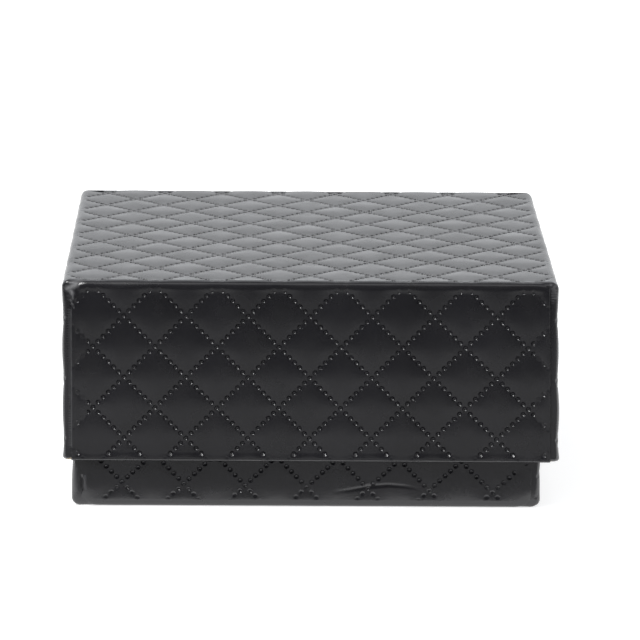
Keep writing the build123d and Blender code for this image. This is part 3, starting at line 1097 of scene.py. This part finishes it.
def pad_outline():
    half = (pad_high - pad_low)[:2] / 2
    spots = []
    for quarter, (sx, sy) in enumerate(((1, 1), (-1, 1), (-1, -1), (1, -1))):
        centre = (sx * (half[0] - PAD_CORNER), sy * (half[1] - PAD_CORNER))
        spots += arc(centre, PAD_CORNER, 90 * quarter, 90 * quarter + 90, 0.5)
    spots = np.array(spots + spots[:1])
    run = np.concatenate([[0], np.cumsum(np.linalg.norm(np.diff(spots, axis=0), axis=1))])
    even = np.linspace(0, run[-1], PAD_AROUND, endpoint=False)
    return np.stack([np.interp(even, run, spots[:, k]) for k in (0, 1)], axis=-1), even


def make_pad():
    outline, along = pad_outline()
    half = (pad_high - pad_low)[:2] / 2
    middle = ((pad_high + pad_low) / 2)[:2]
    outwards = outward_normals(outline)
    to_corner = np.abs(np.abs(outline) - half).sum(axis=1)
    depth = PUCKER_DEPTH + CORNER_PUCKER * np.exp(-(to_corner / CORNER_REACH) ** 2)
    uneven = 0.35 + 0.65 * scatter(np.floor(along / 4), 3)
    pucker = np.sin(along / PUCKER_WAVE + 1.7 * np.sin(along / PUCKER_DRIFT)) * uneven * depth

    def crown(spots):
        return PAD_CROWN * ((spots / half) ** 2).sum(axis=1)

    rings = []
    for share in PAD_RINGS:
        spots = outline * share
        lift = crown(spots) + pucker * share ** 10 + 0.03 * slow_waves(spots[:, 0], spots[:, 1], 11.0)
        rings.append(np.column_stack([spots, pad_low[2] + lift]))
    inner = outline - outwards * PAD_ROLL
    for turn in np.radians(np.linspace(0, 90, 6)):
        out = (PAD_ROLL - 0.15 + 0.6 * pucker) * math.sin(turn)
        spots = inner + outwards * out[:, None]
        lift = crown(inner) + PAD_ROLL * (1 - math.cos(turn)) + pucker * math.cos(turn)
        rings.append(np.column_stack([spots, pad_low[2] + lift]))
    wall = rings[-1]
    top = card_high[2] - 0.02
    for share in (0.4, 0.8, 1.0):
        spots = wall.copy()
        spots[:, 2] += share * (top - wall[:, 2])
        rings.append(spots)
    ends = [[0, 0, pad_low[2]], [0, 0, top]]
    points = np.concatenate(rings + [np.array(ends)])
    points[:, :2] += middle
    around = np.arange(PAD_AROUND)
    following = np.roll(around, -1)
    faces = []
    for row in range(len(rings) - 1):
        near, far = row * PAD_AROUND, (row + 1) * PAD_AROUND
        corners = [near + around, far + around, far + following, near + following]
        faces += np.stack(corners, axis=-1).tolist()
    last = (len(rings) - 1) * PAD_AROUND
    first_end = len(rings) * PAD_AROUND
    faces += [[first_end, i, j] for i, j in zip(around, following)]
    faces += [[first_end + 1, last + j, last + i] for i, j in zip(around, following)]
    piece = make_mesh("pad_satin", points, faces)
    piece.data.set_sharp_from_angle(angle=math.radians(60))
    piece.data.materials.append(satin)
    return piece


pad = make_pad()
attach(pad, "lid")
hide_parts("lid_pad_satin", "lid_pad_foam")
print("pad", len(pad.data.polygons), "faces")

# %% [markdown]
# ## Light and floor
# The photograph has a white table and a white wall behind it, and the room behind the camera is
# dark. That darkness is what gives each puff its shaded upper half, so it is built from cards that
# only reflections can see. They lie in front of the box, stand behind the camera and at both sides,
# and hang overhead, where a bright band lights up the lower side of each needle pit.

# %% Stage
def flat_piece(name, corners, finish):
    mesh = bpy.data.meshes.new(name)
    mesh.from_pydata(corners, [], [(0, 1, 2, 3)])
    mesh.materials.append(finish.material)
    piece = bpy.data.objects.new(name, mesh)
    bpy.context.scene.collection.objects.link(piece)
    return piece


def seen_directly(shader):
    """1 for the rays of the camera and of clear reflections, 0 for light that bounces softly."""
    rays = [shader.node("ShaderNodeLightPath", output=name)
            for name in ("Is Camera Ray", "Is Glossy Ray", "Is Transmission Ray")]
    return rays[0].math("MAXIMUM", rays[1]).math("MAXIMUM", rays[2])


def make_floor(size):
    """A white table that still shows the box's shadow."""
    finish = Finish("table_white")
    glow = seen_directly(finish) * 0.72
    finish.surface(Base_Color=(0.62, 0.62, 0.62, 1), Roughness=1.0, Specular_IOR_Level=0.0,
                   Emission_Color=(1, 1, 1, 1), Emission_Strength=glow)
    corners = [(-size, -size, 0), (size, -size, 0), (size, size, 0), (-size, size, 0)]
    return flat_piece("table", corners, finish)


def make_dark(name, corners, *stops):
    """A card that only reflections see. Its grey changes with the distance in front, in metres."""
    finish = Finish(name)
    ahead = finish.node("ShaderNodeSeparateXYZ", output=1, Vector=finish.place()) * -1.0
    finish.surface(Base_Color=(0, 0, 0, 1), Roughness=1.0, Specular_IOR_Level=0.0,
                   Emission_Color=finish.ramp(ahead, *stops), Emission_Strength=1.0)
    piece = flat_piece(name, corners, finish)
    piece.visible_camera = False
    piece.visible_diffuse = False
    piece.visible_shadow = False
    return piece


def make_lamp(name, place, aim, size, power):
    data = bpy.data.lights.new(name, "AREA")
    data.shape = "RECTANGLE"
    data.size, data.size_y = size
    data.energy = power
    lamp = bpy.data.objects.new(name, data)
    lamp.location = place
    lamp.rotation_mode = "QUATERNION"
    lamp.rotation_quaternion = (Vector(aim) - Vector(place)).to_track_quat("-Z", "Y")
    bpy.context.scene.collection.objects.link(lamp)
    return lamp


# The stage is measured in metres
ROOM_BACK = -1.3
ROOM_SIDE = 1.5
CEILING = 1.25
SIDE_CARD_TOP = 0.9


def lying(front, z):
    """Corners of a level card, from the room's back to the y of its front."""
    return [(-ROOM_SIDE, ROOM_BACK, z), (ROOM_SIDE, ROOM_BACK, z),
            (ROOM_SIDE, front, z), (-ROOM_SIDE, front, z)]


def at_side(x, front):
    """Corners of a card that stands at one side, from the room's back to the y of its front."""
    return [(x, ROOM_BACK, 0), (x, front, 0), (x, front, SIDE_CARD_TOP), (x, ROOM_BACK, SIDE_CARD_TOP)]


room_back = [(-ROOM_SIDE, ROOM_BACK, 0), (ROOM_SIDE, ROOM_BACK, 0),
             (ROOM_SIDE, ROOM_BACK, CEILING), (-ROOM_SIDE, ROOM_BACK, CEILING)]
make_floor(3.0)
make_dark("dark_table", lying(-0.046, 0.0005), (0.05, 0.38), (0.115, 0.58), (0.165, 0.10), (0.40, 0.03))
make_dark("dark_room", room_back, (0.0, 0.03), (1.0, 0.03))
make_dark("dark_ceiling", lying(0.45, CEILING), (0.10, 0.12), (0.22, 0.95), (0.60, 0.95), (0.75, 0.05))
make_dark("dark_left", at_side(-1.0, 0.10), (0.0, 0.25), (0.5, 0.06))
make_dark("dark_right", at_side(1.2, -0.2), (0.2, 0.90), (0.8, 0.45))
make_lamp("overhead", (-0.45, -0.30, 0.80), (0, 0, 0), (0.35, 0.35), 8.0)


def make_world(soft, seen):
    """Even soft light, and a white wall for whatever sees it directly."""
    world = bpy.data.worlds.new("studio")
    world.use_nodes = True
    bpy.context.scene.world = world
    shader = Shader(world.node_tree)
    backdrop = world.node_tree.nodes["Background"]
    backdrop.inputs["Color"].default_value = (0.955, 0.975, 1.0, 1)
    connect(shader.tree, backdrop.inputs["Strength"], seen_directly(shader) * (seen - soft) + soft)


make_world(0.75, 1.05)
bpy.context.scene.view_settings.view_transform = "Standard"
